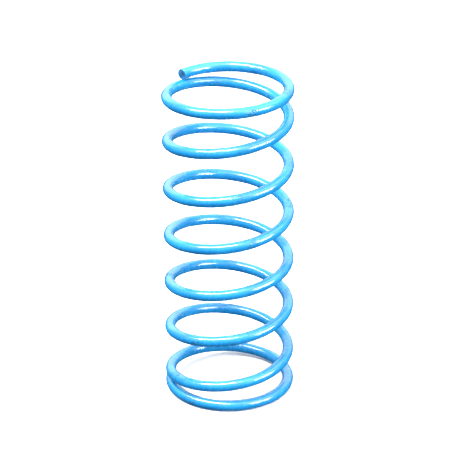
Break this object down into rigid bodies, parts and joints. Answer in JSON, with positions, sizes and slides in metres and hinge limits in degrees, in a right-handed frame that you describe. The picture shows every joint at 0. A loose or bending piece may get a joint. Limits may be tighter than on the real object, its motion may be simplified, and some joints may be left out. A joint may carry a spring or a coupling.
{
  "type": "suspension coil spring",
  "caption": "Cylindrical compression spring of round coated steel wire, closed ends cut square and left unground, for a car's suspension.",
  "frame": {"origin": "centre of the lower end, on the plane that the lower end coil rests on", "axes": "+Z along the spring's axis, up to the upper end; the lower wire tip is on -X, and the wire climbs counterclockwise seen from above"},
  "size_m": [0.1445, 0.1444, 0.365],
  "materials": {
    "coated_wire": "gloss sky-blue powder coat on spring steel"
  },
  "bodies": {
    "lower_end": {"lower_end_coil": "coated_wire", "active_coil_1": "coated_wire"},
    "coil_2": {"active_coil_2": "coated_wire"},
    "coil_3": {"active_coil_3": "coated_wire"},
    "coil_4": {"active_coil_4": "coated_wire"},
    "coil_5": {"active_coil_5": "coated_wire"},
    "upper_end": {"active_coil_6": "coated_wire", "upper_end_coil": "coated_wire"}
  },
  "joints": [
    {"name": "coil_1_closes", "type": "slide", "parent": "lower_end", "child": "coil_2", "axis": [0, 0, 1], "range_m": [-0.0378, 0], "stiffness_N_per_m": 96515, "deforming": ["active_coil_1"]},
    {"name": "coil_2_closes", "type": "slide", "parent": "coil_2", "child": "coil_3", "axis": [0, 0, 1], "range_m": [-0.042, 0], "stiffness_N_per_m": 86863, "deforming": ["active_coil_2"]},
    {"name": "coils_3_and_4_close", "type": "slide", "parent": "coil_3", "child": "coil_4", "axis": [0, 0, 1], "range_m": [-0.084, 0], "stiffness_N_per_m": 43432, "deforming": ["active_coil_3", "active_coil_4"]},
    {"name": "coil_5_closes", "type": "slide", "parent": "coil_4", "child": "coil_5", "axis": [0, 0, 1], "range_m": [-0.042, 0], "stiffness_N_per_m": 86863, "deforming": ["active_coil_5"]},
    {"name": "coil_6_closes", "type": "slide", "parent": "coil_5", "child": "upper_end", "axis": [0, 0, 1], "range_m": [-0.0378, 0], "stiffness_N_per_m": 96515, "deforming": ["active_coil_6"]}
  ],
  "couplings": [
    {"joint": "coil_1_closes", "follows": "coil_2_closes", "ratio": 0.9},
    {"joint": "coils_3_and_4_close", "follows": "coil_2_closes", "ratio": 2},
    {"joint": "coil_5_closes", "follows": "coil_2_closes", "ratio": 1},
    {"joint": "coil_6_closes", "follows": "coil_2_closes", "ratio": 0.9}
  ]
}
